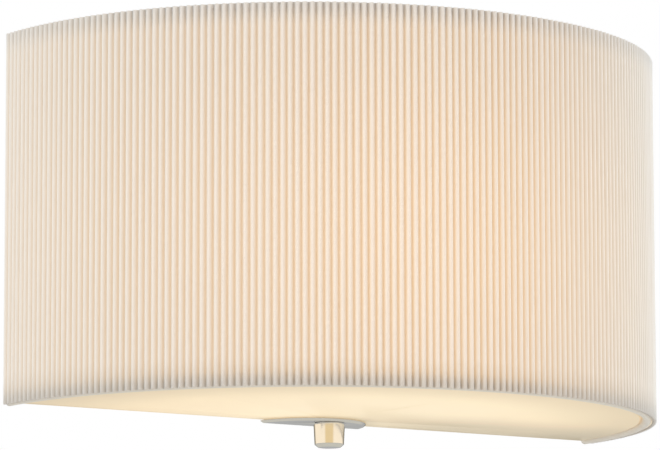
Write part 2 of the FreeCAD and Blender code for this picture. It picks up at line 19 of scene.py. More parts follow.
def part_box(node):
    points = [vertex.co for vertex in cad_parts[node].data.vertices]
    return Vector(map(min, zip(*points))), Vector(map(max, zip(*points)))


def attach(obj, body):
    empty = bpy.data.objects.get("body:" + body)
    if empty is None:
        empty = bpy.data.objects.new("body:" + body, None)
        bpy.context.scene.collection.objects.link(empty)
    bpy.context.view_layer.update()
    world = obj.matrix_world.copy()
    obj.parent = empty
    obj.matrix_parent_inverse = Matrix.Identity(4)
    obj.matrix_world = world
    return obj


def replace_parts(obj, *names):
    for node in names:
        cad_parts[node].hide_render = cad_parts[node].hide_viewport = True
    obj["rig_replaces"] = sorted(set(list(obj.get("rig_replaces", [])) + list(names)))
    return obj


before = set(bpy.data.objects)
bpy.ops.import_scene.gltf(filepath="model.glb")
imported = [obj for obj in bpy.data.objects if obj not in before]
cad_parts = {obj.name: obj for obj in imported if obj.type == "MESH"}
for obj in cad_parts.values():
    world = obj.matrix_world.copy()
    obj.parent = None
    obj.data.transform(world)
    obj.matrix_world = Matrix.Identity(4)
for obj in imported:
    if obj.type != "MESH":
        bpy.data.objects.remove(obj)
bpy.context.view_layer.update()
scene = bpy.context.scene
MM = 0.001


def in_scene(name, data):
    """An object that carries a mesh, a curve, a light or a camera, linked to the scene."""
    item = bpy.data.objects.new(name, data)
    scene.collection.objects.link(item)
    return item


# %% [markdown]
# ## The measurements that the pieces share
#
# Sizes are read from the frame, so a change of the engineering model moves the looks with it. The
# shade is a half circle about the Z axis: its radius, its height and the radius of each layer come
# from the boxes of the nodes that the looks replace.

# %% Sizes from the frame
def reach_of(node):
    """Half the width of a node along the wall: the radius of a half-round piece."""
    low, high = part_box(node)
    return (high.x - low.x) / 2


SHADE_RADIUS = reach_of("pleated_cover")
SHADE_BOTTOM, SHADE_TOP = (corner.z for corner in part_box("pleated_cover"))
SHADE_HEIGHT = SHADE_TOP - SHADE_BOTTOM
LINER_RADIUS = reach_of("shade_liner")
WIRE_RADIUS = (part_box("bottom_ring")[1].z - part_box("bottom_ring")[0].z) / 2
RING_RADIUS = reach_of("bottom_ring") - WIRE_RADIUS
RING_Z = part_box("top_ring")[1].z - WIRE_RADIUS
LAMP_LOW, LAMP_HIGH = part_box("lamp_glass")
LAMP_AXIS = (LAMP_LOW + LAMP_HIGH) / 2
BULB_RADIUS = reach_of("lamp_glass")
BULB_CENTRE = Vector((LAMP_AXIS.x, LAMP_AXIS.y, LAMP_LOW.z + BULB_RADIUS))
print("shade radius %.1f, height %.1f mm" % (SHADE_RADIUS / MM, SHADE_HEIGHT / MM))

# %% [markdown]
# ## The camera
#
# The photograph was taken from the left of the light and a little below it, with a long lens. Its
# place was found by fitting a pinhole camera to the outline of the half circle, so the numbers here
# are a place in the room and three angles, and the image is 660 by 450 pixels.

# %% Camera
CAMERA_PLACE = Vector((-1.0762, -1.7159, -0.2972))
CAMERA_YAW = math.radians(32.37)  # towards +X from +Y
CAMERA_PITCH = math.radians(8.60)  # upwards
CAMERA_ROLL = math.radians(-0.10)
FOCAL_PIXELS = 4725.0
IMAGE_WIDTH = 660

camera = in_scene("camera", bpy.data.cameras.new("camera"))
level = Vector((math.sin(CAMERA_YAW), math.cos(CAMERA_YAW), 0))
forward = level * math.cos(CAMERA_PITCH) + Vector((0, 0, math.sin(CAMERA_PITCH)))
camera.rotation_mode = "QUATERNION"
camera.rotation_quaternion = forward.to_track_quat("-Z", "Y") @ Quaternion((0, 0, 1), CAMERA_ROLL)
camera.location = CAMERA_PLACE
camera.data.sensor_width = 36.0
camera.data.lens = FOCAL_PIXELS * camera.data.sensor_width / IMAGE_WIDTH
camera.data.clip_start = 0.05
scene.camera = camera
print("lens %.1f mm" % camera.data.lens)

# %% [markdown]
# ## Arithmetic with nodes
#
# A finish is a formula: the glow is strongest in front of the lamp, a groove is darker than a ridge.
# Written as nodes, a formula is hard to read, so a small class wraps a socket and lets Python's own
# operators add the Math nodes. The same class serves geometry trees, which use the same Math nodes.

# %% Sockets that can be added and multiplied
def operator(operation, swapped=False):
    """A method that adds one Math node; swapped when the wire stands on the operator's right."""
    def method(self, other):
        ends = [other, self] if swapped else [self, other]
        return self.graph.add("ShaderNodeMath", ends, operation=operation)
    return method


class Wire:
    """One output socket of a node tree, ready for arithmetic."""

    __add__ = operator("ADD")
    __radd__ = operator("ADD")
    __sub__ = operator("SUBTRACT")
    __rsub__ = operator("SUBTRACT", swapped=True)
    __mul__ = operator("MULTIPLY")
    __truediv__ = operator("DIVIDE")
    __rtruediv__ = operator("DIVIDE", swapped=True)
    __pow__ = operator("POWER")

    def __init__(self, graph, socket):
        self.graph = graph
        self.socket = socket

    def maths(self, operation, *others):
        return self.graph.add("ShaderNodeMath", [self, *others], operation=operation)

    def other(self, name):
        """Another output of the same node."""
        return Wire(self.graph, self.socket.node.outputs[name])


class Graph:
    """A node tree that is built by calls."""

    def __init__(self, tree):
        self.tree = tree
        self.tree.nodes.clear()

    def add(self, kind, values=(), out=0, **settings):
        """A new node: its settings first, then the values or links of its sockets."""
        node = self.tree.nodes.new(kind)
        for name, setting in settings.items():
            setattr(node, name, setting)
        pairs = values.items() if isinstance(values, dict) else enumerate(values)
        for key, value in pairs:
            if isinstance(value, Wire):
                self.tree.links.new(value.socket, node.inputs[key])
            elif value is not None:
                node.inputs[key].default_value = value
        return Wire(self, node.outputs[out]) if node.outputs else node

    def mix(self, first, second, factor):
        """Blend two colours; each may be a link or three numbers."""
        first, second = (c if isinstance(c, Wire) else (*c, 1.0) for c in (first, second))
        return self.add("ShaderNodeMix", {0: factor, 6: first, 7: second}, out=2, data_type="RGBA")

    def tinted(self, colour, amount):
        """A colour times a number that varies."""
        grey = self.add("ShaderNodeCombineXYZ", [amount, amount, amount])
        return self.add("ShaderNodeVectorMath", [grey, colour], operation="MULTIPLY")

    def smooth(self, value, start, end):
        """0 before start and 1 after end, with a smooth step between them."""
        values = {"Value": value, "From Min": start, "From Max": end}
        return self.add("ShaderNodeMapRange", values, interpolation_type="SMOOTHSTEP")

    def keep(self, shape, name, value, kind="FLOAT"):
        """Store a value under a name on every point of a shape."""
        values = {"Geometry": shape, "Name": name, "Value": value}
        return self.add("GeometryNodeStoreNamedAttribute", values, data_type=kind, domain="POINT")


print("node arithmetic is ready")

# %% [markdown]
# ## One way to start every finish
#
# Each finish is one Principled shader. What is the same all over the surface is set on the shader's
# own sockets, and what varies is a formula on Object coordinates or on an attribute of the piece. A
# light bump keeps any surface from looking like a computer's flat plastic.

# %% A helper for finishes
class Finish(Graph):
    """A material with one Principled shader and Object coordinates."""

    def __init__(self, name, colour=(0.8, 0.8, 0.8), roughness=0.5, **constants):
        self.material = bpy.data.materials.new(name)
        self.material.use_nodes = True
        super().__init__(self.material.node_tree)
        self.shader = self.tree.nodes.new("ShaderNodeBsdfPrincipled")
        output = self.tree.nodes.new("ShaderNodeOutputMaterial")
        self.tree.links.new(self.shader.outputs[0], output.inputs[0])
        self.put("Base Color", (*colour, 1.0))
        self.put("Roughness", roughness)
        for key, value in constants.items():
            self.put(key.replace("_", " ").title().replace("Ior", "IOR"), value)
        self.place = self.add("ShaderNodeTexCoord", out="Object")
        print("finish:", name)

    def put(self, socket, value):
        """Set or link one socket of the shader."""
        if isinstance(value, Wire):
            self.tree.links.new(value.socket, self.shader.inputs[socket])
        else:
            self.shader.inputs[socket].default_value = value

    def surface(self, dark, light, tone, rough, change):
        """Colour and roughness that both follow the same tone, 0 to 1."""
        self.put("Base Color", self.mix(dark, light, tone))
        self.put("Roughness", rough + tone * change)

    def glow(self, colour, amount):
        """Light that the surface gives off by itself."""
        self.put("Emission Color", self.tinted(colour, amount))
        self.put("Emission Strength", 1.0)

    def grain(self, scale, depth, strength):
        """Fine bumps all over the surface."""
        self.bump(self.noise(scale, 2.0), depth, strength)

    def axes(self):
        split = self.add("ShaderNodeSeparateXYZ", [self.place])
        return split, split.other("Y"), split.other("Z")

    def attribute(self, name):
        return self.add("ShaderNodeAttribute", out="Fac", attribute_name=name)

    def noise(self, scale, detail=2.0, vector=None, stretch=None):
        """Cloudy noise, 0 to 1; stretch scales the coordinates along X, Y and Z."""
        where = vector or self.place
        if stretch:
            where = self.add("ShaderNodeMapping", {"Vector": where, "Scale": stretch})
        return self.add("ShaderNodeTexNoise", {"Vector": where, "Scale": scale, "Detail": detail})

    def bump(self, height, distance, strength=1.0):
        values = {"Strength": strength, "Distance": distance, "Height": height}
        self.put("Normal", self.add("ShaderNodeBump", values))


print("finishes are ready")

# %% [markdown]
# ## How the glow spreads
#
# The real glow is lamp light that soaks through cloth, and tracing it would cost minutes of
# rendering. A lit shade can instead give off a little light of its own. The formula below says how
# much lamp light reaches a point of the shade: most in front of the lamp, less towards the wall and
# least at the two rims, where tape and wire stand in the way. It depends only on the place on the
# object, so the light looks right from every side.

# %% Lamp light on the shade
GLOW_CLOTH = (0.34, 0.172, 0.03)
DAYLIT_SIDE = (-0.05, 0.13)  # along X, where daylight begins to outshine the lamp and where fully
LOW_RIM_SHADOW = (0.0012, 0.0068)  # above the lower edge, where the tape's shadow starts to fade and ends
HIGH_RIM_SHADOW = 0.0105  # below the upper edge, where the shadow ends


def lamp_light(finish, falloff=0.5, tall=0.75):
    """Share of the lamp's light that reaches this place, 0 to about 1."""
    x, y, z = finish.axes()
    away_x = x - BULB_CENTRE.x
    away_y = y - BULB_CENTRE.y
    away_z = (z - BULB_CENTRE.z) * tall
    square = away_x * away_x + away_y * away_y + away_z * away_z
    near = (SHADE_RADIUS - abs(BULB_CENTRE.y)) ** 2
    return (near / square) ** falloff


def clear_of_rims(finish):
    """0 at the very edge of a taped rim, 1 on the open cloth between the rims."""
    z = finish.axes()[2]
    low = finish.smooth(z, *(SHADE_BOTTOM + height for height in LOW_RIM_SHADOW))
    high = finish.smooth(z, SHADE_TOP, SHADE_TOP - HIGH_RIM_SHADOW)
    return low * high


print("from the lamp's axis to the cloth in front of it: %.0f mm" % ((SHADE_RADIUS + BULB_CENTRE.y) / MM))

# %% [markdown]
# ## The pleated cover's cloth
#
# Close up, the cloth is a fine plain weave with slubs, thicker threads that run up and down. The
# weave is a product of two sine waves on the cloth's own coordinates, which the piece carries as an
# attribute, so the threads follow every fold. On open cloth a groove glows more than a ridge, as
# the light passes one layer there. On the +X side daylight outshines the lamp, so less glow shows.

# %% Pleated fabric
THREAD = 0.00042  # pitch of the weave


def pleated_fabric():
    finish = Finish("pleated_fabric", sheen_weight=1.0, sheen_roughness=0.45)
    cloth = finish.add("ShaderNodeAttribute", out="Vector", attribute_name="cloth")
    fold = finish.attribute("fold")
    across = finish.add("ShaderNodeSeparateXYZ", [cloth])
    along = across.other("Y")
    turn = 2 * math.pi / THREAD
    weave = (across * turn).maths("SINE") * (along * turn).maths("SINE")
    slub = finish.noise(60.0, 3.0, vector=cloth, stretch=(12.0, 1.0, 1.0))
    patch = finish.noise(9.0, 2.0)
    ridges = finish.smooth(fold, 0.0, 0.75)
    ridge = finish.mix((0.74, 0.70, 0.65), (0.80, 0.76, 0.71), slub)
    # a groove's base colour is darker and warmer than a ridge's: painted shade in the creases between pleats
    finish.put("Base Color", finish.mix((0.62, 0.55, 0.47), ridge, ridges))
    shaded = 0.3 + ridges * 0.35
    open_cloth = shaded + clear_of_rims(finish) * (1.0 - shaded)
    depth = 1.0 - ridges * 0.22
    daylit = finish.smooth(finish.axes()[0], *DAYLIT_SIDE)
    light = lamp_light(finish, 0.8, 0.9) * open_cloth * depth * (1.0 - daylit * 0.45)
    finish.glow(GLOW_CLOTH, light * (0.95 + patch * 0.05 + slub * 0.05))
    finish.put("Roughness", 0.80 + weave * 0.05)
    finish.bump(weave * 0.25 + slub, 0.00012, 0.6)
    return finish.material


FABRIC = pleated_fabric()

# %% [markdown]
# ## The pleated cover
#
# A pleater folds one long strip of cloth into some 155 narrow ridges and glues them upright on the
# liner. The form follows a rule, so a geometry tree makes it: a flat grid is rolled into the half
# circle, and each pleat lifts into a ridge with a rounded top and a tight groove beside it. Hand
# work is never even, so a seeded random number widens or narrows each pleat and lets its edges
# wander a little on their way up. Solidify then gives the cloth its thickness.

# %% A helper that runs a geometry tree once
def new_tree(name, inputs):
    """An empty geometry tree with named inputs, and a wire for each input."""
    tree = bpy.data.node_groups.new(name, "GeometryNodeTree")
    kinds = {float: "NodeSocketFloat", int: "NodeSocketInt", bpy.types.Material: "NodeSocketMaterial",
             bpy.types.Object: "NodeSocketObject"}
    tree.interface.new_socket("Geometry", in_out="OUTPUT", socket_type="NodeSocketGeometry")
    tree.interface.new_socket("Start", in_out="INPUT", socket_type="NodeSocketGeometry")
    for key, kind in inputs.items():
        tree.interface.new_socket(key, in_out="INPUT", socket_type=kinds[kind])
    graph = Graph(tree)
    start = graph.add("NodeGroupInput")
    return graph, {key: start.other(key) for key in ("Start", *inputs)}


def close_tree(graph, shape, finish):
    """End a tree: make instances real, give the finish and hand the shape out."""
    real = graph.add("GeometryNodeRealizeInstances", [shape])
    dressed = graph.add("GeometryNodeSetMaterial", {"Geometry": real, "Material": finish})
    output = graph.tree.nodes.new("NodeGroupOutput")
    graph.tree.links.new(dressed.socket, output.inputs[0])


def evaluated(item):
    """A new mesh of an object as its modifiers or its curve make it."""
    made = item.evaluated_get(bpy.context.evaluated_depsgraph_get())
    return bpy.data.meshes.new_from_object(made)


def bake(piece):
    """Keep what the modifiers make as the piece's own plain mesh."""
    mesh = evaluated(piece)
    piece.modifiers.clear()
    piece.data = mesh
    mesh.name = piece.name
    return mesh


def grow(node, name, graph, values, start=None, thickness=0.0):
    """Run a geometry tree once and keep the result as a plain mesh, which replaces a node."""
    piece = in_scene(name, start or bpy.data.meshes.new(name))
    modifier = piece.modifiers.new("tree", "NODES")
    modifier.node_group = graph.tree
    for socket in graph.tree.interface.items_tree:
        if socket.in_out == "INPUT" and socket.name in values:
            modifier[socket.identifier] = values[socket.name]
    if thickness:
        wall = piece.modifiers.new("thickness", "SOLIDIFY")
        wall.thickness = thickness
        wall.offset = -1.0
        wall.use_even_offset = True
    mesh = bake(piece)
    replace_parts(piece, node)
    print("%s: %d faces, %.1f x %.1f x %.1f mm" % (name, len(mesh.polygons), *(piece.dimensions / MM)))
    return piece


# %% The tree of the pleated cover
PLEATS = 155
PLEAT_DEPTH = 0.0016
CLOTH_THICKNESS = 0.00028
STEPS = 12  # grid cells across one pleat
ROWS = 14
BACK_GAP = 0.0005  # from the cover's upright edges to the wall
WEAVE_PER_PLEAT = 0.0051  # how much of the weave's pattern lies across one pleat
WANDER = 0.05  # of a pleat's width, how far a groove strays


def cover_tree():
    inputs = {"Radius": float, "Height": float, "Depth": float, "Pleats": int, "Seed": int,
              "Start Angle": float, "Sweep": float, "Finish": bpy.types.Material}
    graph, given = new_tree("pleats", inputs)
    pleats, radius, seed = given["Pleats"], given["Radius"], given["Seed"]
    grid = graph.add("GeometryNodeMeshGrid", [1.0, 1.0, pleats * STEPS + 1, ROWS])
    place = graph.add("ShaderNodeSeparateXYZ", [graph.add("GeometryNodeInputPosition")])
    share = place + 0.5
    up = place.other("Y") + 0.5
    # a hair's breadth keeps the last column of the grid inside the last pleat
    pleat = (share * pleats * 0.999999).maths("FLOOR")
    f = share * pleats - pleat

    def varied(index, low, high, salt):
        sockets = {2: low, 3: high, "ID": index, "Seed": seed + salt}
        return graph.add("FunctionNodeRandomValue", sockets, out=1, data_type="FLOAT")

    def groove_shift(index, salt):
        """How far a groove wanders: a fixed part, and a part that changes on the way up."""
        fixed = varied(index, -WANDER / 2, WANDER / 2, salt)
        spot = graph.add("ShaderNodeCombineXYZ", [index * 7.31, up * 2.4, 0.0])
        sway = graph.add("ShaderNodeTexNoise", {"Vector": spot, "Scale": 1.0, "Detail": 1.0})
        return fixed + (sway - 0.5) * WANDER

    shift = groove_shift(pleat, 1) * (1 - f) + groove_shift(pleat + 1, 1) * f
    flank = (f * (4 * math.pi)).maths("SINE") * (0.25 / (4 * math.pi))
    lobe = (f * math.pi).maths("SINE").maths("ABSOLUTE") ** 1.25
    rise = lobe * varied(pleat, 0.92, 1.0, 5)
    # no groove strays at the two upright edges
    ends = (share * (1 - share) * 60).maths("MINIMUM", 1.0)
    turn = given["Start Angle"] + given["Sweep"] * ((pleat + f + flank + shift * ends) / pleats)
    r = radius - given["Depth"] * (1 - rise)
    rolled_to = [r * turn.maths("COSINE"), r * turn.maths("SINE"), (up - 0.5) * given["Height"]]
    there = graph.add("ShaderNodeCombineXYZ", rolled_to)
    across = (pleat + f) * WEAVE_PER_PLEAT
    cloth = graph.add("ShaderNodeCombineXYZ", [across, up * given["Height"], 0.0])
    # a field is worked out where it is used, so both attributes are kept before the grid is rolled
    kept = graph.keep(graph.keep(grid, "cloth", cloth, "FLOAT_VECTOR"), "fold", lobe)
    rolled = graph.add("GeometryNodeSetPosition", {"Geometry": kept, "Position": there})
    smooth = graph.add("GeometryNodeSetShadeSmooth", [rolled])
    close_tree(graph, smooth, given["Finish"])
    return graph


back_angle = math.asin(BACK_GAP / SHADE_RADIUS)
cover_values = {
    "Radius": SHADE_RADIUS, "Height": SHADE_HEIGHT, "Depth": PLEAT_DEPTH, "Pleats": PLEATS, "Seed": 11,
    "Start Angle": math.pi + back_angle, "Sweep": math.pi - 2 * back_angle, "Finish": FABRIC,
}
cover = grow("pleated_cover", "pleated_cover_cloth", cover_tree(), cover_values, thickness=CLOTH_THICKNESS)

# %% [markdown]
# ## Cloth tape round the rims
#
# Each rim is a wire with a strip of cotton tape folded over it: up the inside of the shade, round the
# wire and a little way up under the cover. A strip that follows a path is one profile swept along
# one curve, so a small geometry tree makes both rim tapes and, further on, the lining.

# %% Hem tape
TAPE_RIB = 0.0006  # pitch of the tape's fine ribs


def hem_tape():
    finish = Finish("hem_tape", sheen_weight=0.25, sheen_roughness=0.45)
    ribs = (finish.attribute("along") * (2 * math.pi / TAPE_RIB)).maths("SINE")
    cloud = finish.noise(220.0, 3.0)
    finish.put("Base Color", finish.mix((0.74, 0.67, 0.57), (0.84, 0.77, 0.67), cloud))
    finish.glow((0.08, 0.06, 0.04), lamp_light(finish, 0.35) * (0.85 + cloud * 0.3))
    finish.put("Roughness", 0.82 + ribs * 0.04)
    finish.bump(ribs * 0.5 + cloud, 0.00008, 0.7)
    return finish.material


def sweep_tree():
    """Sweep a profile, given as the start mesh, round an arc about the Z axis."""
    inputs = {"Radius": float, "Start Angle": float, "Sweep": float, "Steps": int,
              "Finish": bpy.types.Material}
    graph, given = new_tree("sweep", inputs)
    sockets = {"Resolution": given["Steps"], "Radius": given["Radius"],
               "Start Angle": given["Start Angle"], "Sweep Angle": given["Sweep"]}
    arc = graph.add("GeometryNodeCurveArc", sockets, mode="RADIUS")
    arc = graph.add("GeometryNodeSetCurveNormal", [arc], mode="Z_UP")
    travelled = graph.add("GeometryNodeSplineParameter", out="Length")
    arc = graph.keep(arc, "along", travelled)
    profile = graph.add("GeometryNodeMeshToCurve", [given["Start"]])
    swept = graph.add("GeometryNodeCurveToMesh", {"Curve": arc, "Profile Curve": profile})
    close_tree(graph, graph.add("GeometryNodeSetShadeSmooth", [swept]), given["Finish"])
    return graph


def chain(name, points):
    """A mesh of edges only, as the start of a swept piece."""
    mesh = bpy.data.meshes.new(name)
    mesh.from_pydata(points, [(k, k + 1) for k in range(len(points) - 1)], [])
    return mesh


SWEEP = sweep_tree()
TAPE = hem_tape()
TAPE_THICKNESS = 0.0004
LAYER_GAP = 0.00005  # glue between two layers
ARC_POINTS = 181  # along the half circle


def round_the_shade(node, name, profile, finish, thickness):
    """Sweep (radius, height) points round the front, from wall to wall."""
    start = chain(name, [(r - RING_RADIUS, -z, 0.0) for r, z in profile])
    values = {"Radius": RING_RADIUS, "Start Angle": math.pi, "Sweep": math.pi, "Steps": ARC_POINTS,
              "Finish": finish}
    return grow(node, name, SWEEP, values, start=start, thickness=thickness)


def hem_profile(side):
    """Down the inside, round the wire and a little way outside; side is 1 above and -1 below."""
    reach = WIRE_RADIUS + LAYER_GAP + TAPE_THICKNESS
    wire_z = side * RING_Z
    band_end = side * abs(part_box("bottom_hem")[1].z)
    points = [(RING_RADIUS - reach, band_end + (wire_z - band_end) * k / 4) for k in range(4)]
    turns = [math.pi - math.radians(150) * k / 10 for k in range(11)]
    return points + [(RING_RADIUS + reach * math.cos(t), wire_z + side * reach * math.sin(t)) for t in turns]


top_tape = round_the_shade("top_hem", "top_hem_tape", hem_profile(1), TAPE, TAPE_THICKNESS)
bottom_tape = round_the_shade("bottom_hem", "bottom_hem_tape", hem_profile(-1), TAPE, TAPE_THICKNESS)

# %% Tapes over the upright back edges
def edge_tape(name, side, fold=0.0007, rows=24):
    """A folded tape: a leaf inside the shade and a narrow face towards the wall."""
    low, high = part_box("edge_bindings")
    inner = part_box("side_struts")[1].x - 2 * WIRE_RADIUS - LAYER_GAP - TAPE_THICKNESS
    corner = [(inner + fold * (1 - math.cos(t)), -fold * (1 - math.sin(t)))
              for t in (0, 0.5, 1.0, math.pi / 2)]
    profile = [(inner, low.y), (inner, low.y / 2)] + corner + [(high.x, 0.0)]
    heights = [low.z + (high.z - low.z) * k / rows for k in range(rows + 1)]
    points = [(side * x, y, z) for z in heights for x, y in profile]
    width = len(profile)
    faces = [(k * width + i, k * width + i + 1, (k + 1) * width + i + 1, (k + 1) * width + i)
             for k in range(rows) for i in range(width - 1)]
    mesh = bpy.data.meshes.new(name)
    mesh.from_pydata(points, [], [face if side > 0 else face[::-1] for face in faces])
    along = mesh.attributes.new("along", "FLOAT", "POINT")
    along.data.foreach_set("value", [p[2] for p in points])
    mesh.materials.append(TAPE)
    mesh.shade_smooth()
    piece = in_scene(name, mesh)
    wall = piece.modifiers.new("thickness", "SOLIDIFY")
    wall.thickness = TAPE_THICKNESS
    wall.offset = 1.0
    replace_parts(piece, "edge_bindings")
    print("%s: %d faces along the fold" % (name, len(faces)))
    return piece


edge_tapes = [edge_tape("edge_tape_left", -1), edge_tape("edge_tape_right", 1)]

# %% [markdown]
# ## The lining
#
# Behind the pleats is a sheet of stiff white plastic, rolled to the half circle. It carries the cloth
# and spreads the lamp's light, so from above the inside of the shade is its brightest part. Fine
# rolling marks show in it, and it is a plain sheet otherwise.

# %% Lining
def lining_plastic():
    finish = Finish("lining", coat_weight=0.1)
    streak = finish.noise(30.0, 3.0, stretch=(1.0, 1.0, 0.08))
    finish.surface((0.80, 0.76, 0.68), (0.88, 0.84, 0.76), streak, 0.42, 0.2)
    finish.glow((0.62, 0.46, 0.27), lamp_light(finish, 0.8) * (0.9 + streak * 0.2))
    finish.bump(streak, 0.0001, 0.3)
    return finish.material


lining_low, lining_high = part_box("shade_liner")
lining_profile = [(LINER_RADIUS, lining_low.z + (lining_high.z - lining_low.z) * k / 8) for k in range(9)]
LINING_THICKNESS = 0.0005
lining = round_the_shade("shade_liner", "shade_lining", lining_profile, lining_plastic(), LINING_THICKNESS)

# %% [markdown]
# ## Metal finishes
#
# The plate and knob are polished chrome: almost no colour of its own, so it shows the lit opal plate
# above it and the pale room around it. Small steel parts are zinc plated, with faint spangles, and
# the big folded parts carry a white powder coat, whose surface is like a fine orange peel.

# %% Metals and coats
def chrome():
    finish = Finish("chrome", metallic=1.0)
    smear = finish.noise(60.0, 4.0, stretch=(1.0, 1.0, 3.0))
    finish.surface((0.76, 0.765, 0.78), (0.84, 0.84, 0.845), smear, 0.045, 0.05)
    finish.grain(900.0, 0.00001, 0.15)
    return finish.material


def zinc():
    finish = Finish("zinc", metallic=1.0)
    spangle = finish.add("ShaderNodeTexVoronoi", {"Vector": finish.place, "Scale": 900.0}, out="Color")
    tone = finish.add("ShaderNodeRGBToBW", [spangle])
    finish.surface((0.55, 0.57, 0.60), (0.74, 0.75, 0.77), tone, 0.24, 0.2)
    finish.grain(1500.0, 0.00002, 0.3)
    return finish.material


def mottled(name, dark, light, cloud, rough, grain, **constants):
    """A surface in soft patches: cloud is the noise's scale and detail, rough the roughness and its
    change, and grain the fine bumps' scale, depth and strength."""
    finish = Finish(name, **constants)
    finish.surface(dark, light, finish.noise(*cloud), *rough)
    finish.grain(*grain)
    return finish.material


def powder_coat(name, light, dark):
    return mottled(name, dark, light, (25.0, 3.0), (0.36, 0.14), (1400.0, 0.00003, 0.45), coat_weight=0.15)


def solder():
    finish = Finish("solder", metallic=1.0)
    cloud = finish.noise(700.0, 3.0)
    finish.surface((0.45, 0.45, 0.46), (0.68, 0.68, 0.69), cloud, 0.5, -0.25)
    finish.bump(cloud, 0.00005, 0.5)
    return finish.material


CHROME = chrome()
ZINC = zinc()
BRASS = mottled("brass", (0.62, 0.43, 0.17), (0.83, 0.66, 0.34), (120.0, 4.0), (0.42, -0.2),
                (1200.0, 0.00002, 0.3), metallic=1.0)
SOLDER = solder()
WHITE_STEEL = powder_coat("white_steel", (0.86, 0.86, 0.845), (0.80, 0.80, 0.785))
FRAME_WIRE = powder_coat("frame_wire", (0.88, 0.87, 0.84), (0.80, 0.79, 0.76))

# %% [markdown]
# ## Plastics, rubber, foam and glass
#
# The lamp below the cap is opal glass and gives its light evenly, so it is simply bright. The opal
# plate under the shade is lit from above by the same lamp: brightest near the middle, with painted
# shade that darkens it towards the wall on the +X side, round the half disc and towards the rim.

# %% Plastics and glass
def moulded(name, light, dark, roughness, grain=900.0, depth=0.00003, **constants):
    return mottled(name, dark, light, (70.0, 3.0), (roughness, 0.1), (grain, depth, 0.4), **constants)


BRIGHT_SPOT = 0.115  # from the lamp's axis to where the opal plate is half as bright


def opal_acrylic():
    finish = Finish("opal_acrylic", coat_weight=0.25, coat_roughness=0.12)
    x, y = finish.axes()[:2]
    away_x, away_y = x - BULB_CENTRE.x, y - BULB_CENTRE.y
    near = 1.0 / (1.0 + (away_x * away_x + away_y * away_y) * (1 / BRIGHT_SPOT**2))
    # painted shade: the glow is dimmed towards the wall on the +X side, in a ring round the half disc and
    # towards the rim
    shadow = finish.smooth(y, -0.07, -0.01) * finish.smooth(x, -0.02, 0.07)
    from_middle = (x * x + y * y) ** 0.5
    beside = finish.smooth(from_middle - reach_of("clamp_plate"), 0.010, -0.002)
    rim = finish.smooth(from_middle, SHADE_RADIUS - 0.055, SHADE_RADIUS - 0.006)
    shade = (1.0 - shadow * 0.55) * (1.0 - beside * 0.35) * (1.0 - rim * 0.34)
    cloud = finish.noise(40.0, 3.0)
    finish.surface((0.60, 0.52, 0.36), (0.66, 0.575, 0.41), cloud, 0.30, 0.12)
    finish.glow(finish.mix((0.46, 0.285, 0.12), (0.68, 0.54, 0.355), near), shade * (0.93 + cloud * 0.08))
    finish.grain(300.0, 0.00002, 0.2)
    return finish.material


def opal_glass():
    finish = Finish("opal_glass", colour=(0.9, 0.88, 0.82), coat_weight=0.6, coat_roughness=0.05)
    z = finish.axes()[2]
    neck = finish.smooth(z, LAMP_LOW.z + 1.55 * BULB_RADIUS, LAMP_HIGH.z)
    cloud = finish.noise(60.0, 2.0)
    finish.glow(finish.mix((0.98, 0.90, 0.70), (0.60, 0.47, 0.28), neck), 0.95 + cloud * 0.1)
    finish.put("Roughness", 0.2 + cloud * 0.1)
    return finish.material


OPAL = opal_acrylic()
GLASS = opal_glass()
HOLDER_PLASTIC = moulded("holder_plastic", (0.86, 0.84, 0.79), (0.81, 0.79, 0.74), 0.28, coat_weight=0.2)
TERMINAL_PLASTIC = moulded("terminal_plastic", (0.84, 0.83, 0.78), (0.77, 0.76, 0.71), 0.45)
RUBBER = moulded("grommet_rubber", (0.045, 0.045, 0.047), (0.03, 0.03, 0.031), 0.6,
                 grain=1600.0, depth=0.00006)
FOAM = moulded("foam", (0.80, 0.79, 0.76), (0.70, 0.69, 0.66), 0.85, grain=1800.0, depth=0.0002)
BLACK_GLASS = moulded("black_glass", (0.03, 0.03, 0.034), (0.02, 0.02, 0.022), 0.15)

# %% [markdown]
# ## Rounding what the engineer left sharp
#
# No stamped or moulded edge is truly sharp: a thin line of light runs along it. A copy of a plain
# model part, with its loose triangles merged, its flat areas joined and its edges bevelled by a
# fraction of a millimetre, gets that line and keeps its exact shape and place.

# %% A rounded copy of a model part
SAME_POINT = 1e-6
ONE_FLAT = math.radians(0.8)  # faces that lean less than this against each other are one flat


def welded(node):
    """A node's mesh, ready for editing, with its loose triangles joined."""
    bm = bmesh.new()
    bm.from_mesh(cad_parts[node].data)
    bmesh.ops.remove_doubles(bm, verts=bm.verts, dist=SAME_POINT)
    return bm


def mesh_from(bm, name, finish=None):
    """A new mesh with what was edited, in one finish."""
    mesh = bpy.data.meshes.new(name)
    bm.to_mesh(mesh)
    bm.free()
    if finish:
        mesh.materials.clear()
        mesh.materials.append(finish)
        mesh.shade_smooth()
    return mesh


def rounded_copy(node, name, finish, width, sharp=25.0, polished=False):
    """A copy of a node with its edges rounded by width; polished keeps the flats' mirror images flat."""
    bm = welded(node)
    bmesh.ops.dissolve_limit(bm, angle_limit=ONE_FLAT, verts=bm.verts, edges=bm.edges, delimit={"NORMAL"})
    piece = in_scene(name, mesh_from(bm, name, finish))
    bevel = piece.modifiers.new("edges", "BEVEL")
    bevel.harden_normals = polished
    bevel.width = width
    bevel.segments = 3
    bevel.limit_method = "ANGLE"
    bevel.angle_limit = math.radians(sharp)
    bevel.use_clamp_overlap = True
    mesh = bake(piece)
    if not polished:
        mesh.set_sharp_from_angle(angle=math.radians(sharp + 7))
    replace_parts(piece, node)
    print("%s: %d faces" % (name, len(mesh.polygons)))
    return piece


